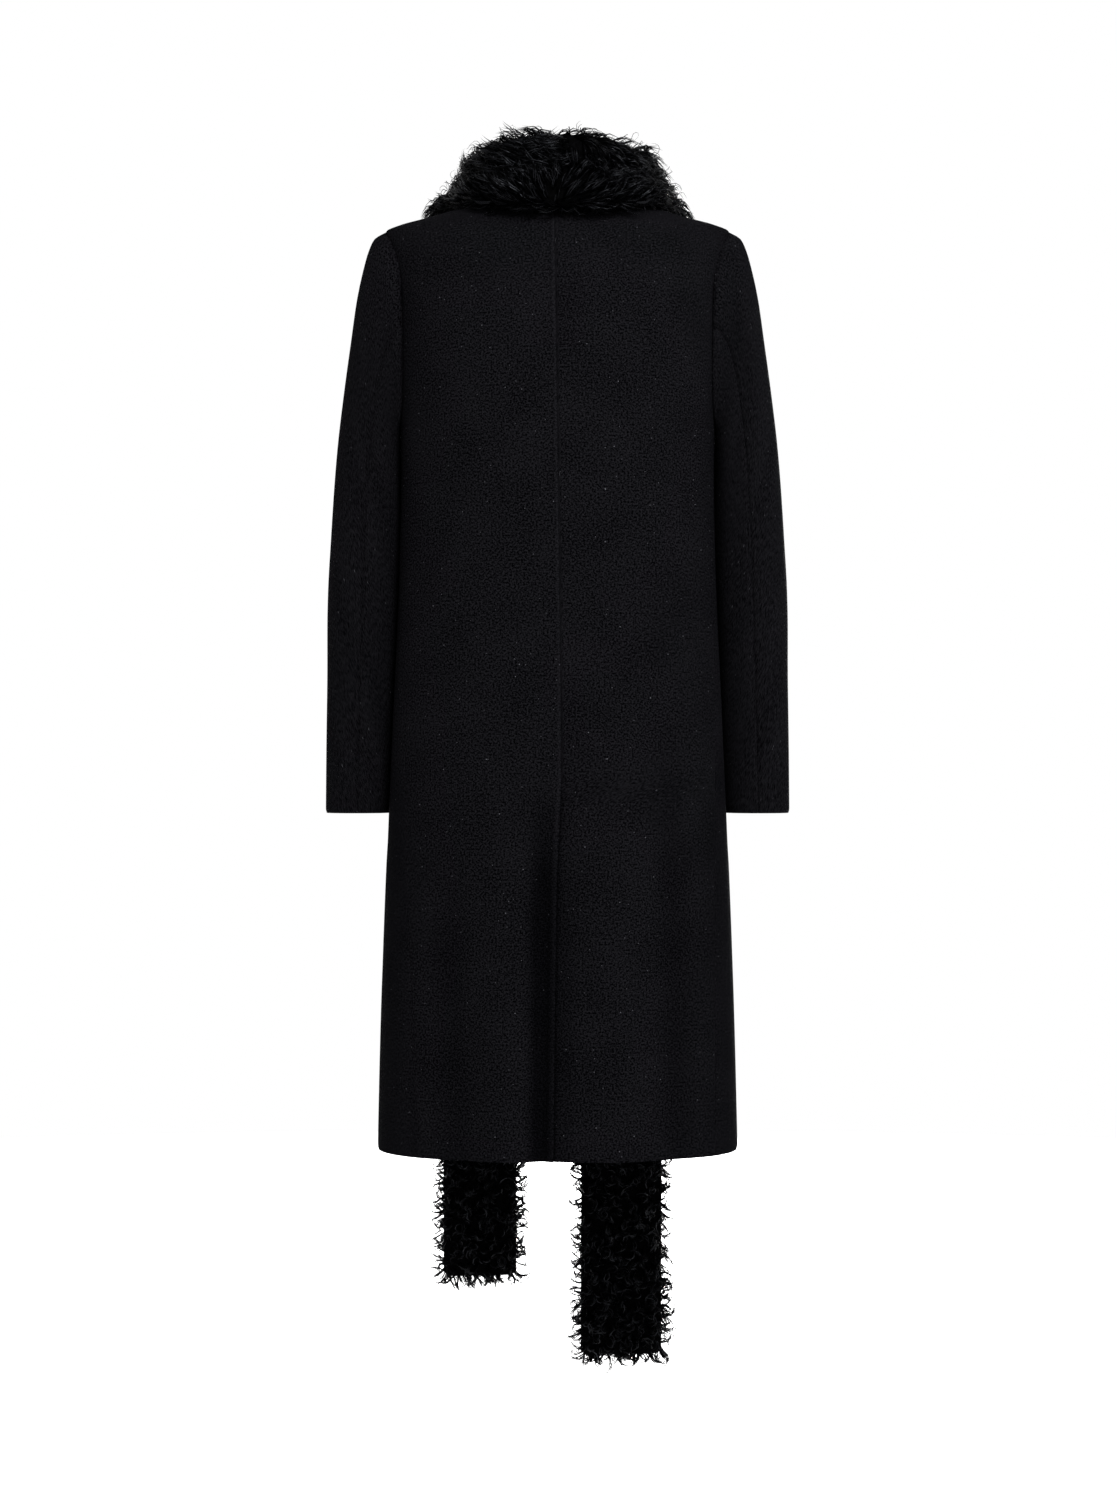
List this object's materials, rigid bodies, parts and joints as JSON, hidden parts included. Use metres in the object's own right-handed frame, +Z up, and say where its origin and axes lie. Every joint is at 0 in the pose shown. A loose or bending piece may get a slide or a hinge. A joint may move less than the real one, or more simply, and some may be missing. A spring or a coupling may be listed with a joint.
{
  "type": "long wool coat with a shearling scarf collar",
  "caption": "Long, hollow, back-vented wool coat with set-in sleeves and a curly shearling scarf collar, standing as if worn.",
  "frame": {"origin": "the middle of the neck opening, level with the seam at the back of the neck, where the wearer's shoulders hold the coat", "axes": "+Z up, -Y the way the wearer faces, +Y the coat's back, +X the wearer's left"},
  "size_m": [0.5084, 0.3343, 1.3611],
  "materials": {
    "wool": "matt double-faced wool with a short nap",
    "fur": "glossy curled shearling"
  },
  "bodies": {
    "root": {"back_left": "wool", "back_right": "wool", "front_left": "wool", "front_right": "wool", "sleeve_upper_left": "wool", "sleeve_under_left": "wool", "sleeve_upper_right": "wool", "sleeve_under_right": "wool", "collar": "fur", "scarf_left": "fur", "scarf_right": "fur"}
  },
  "joints": []
}
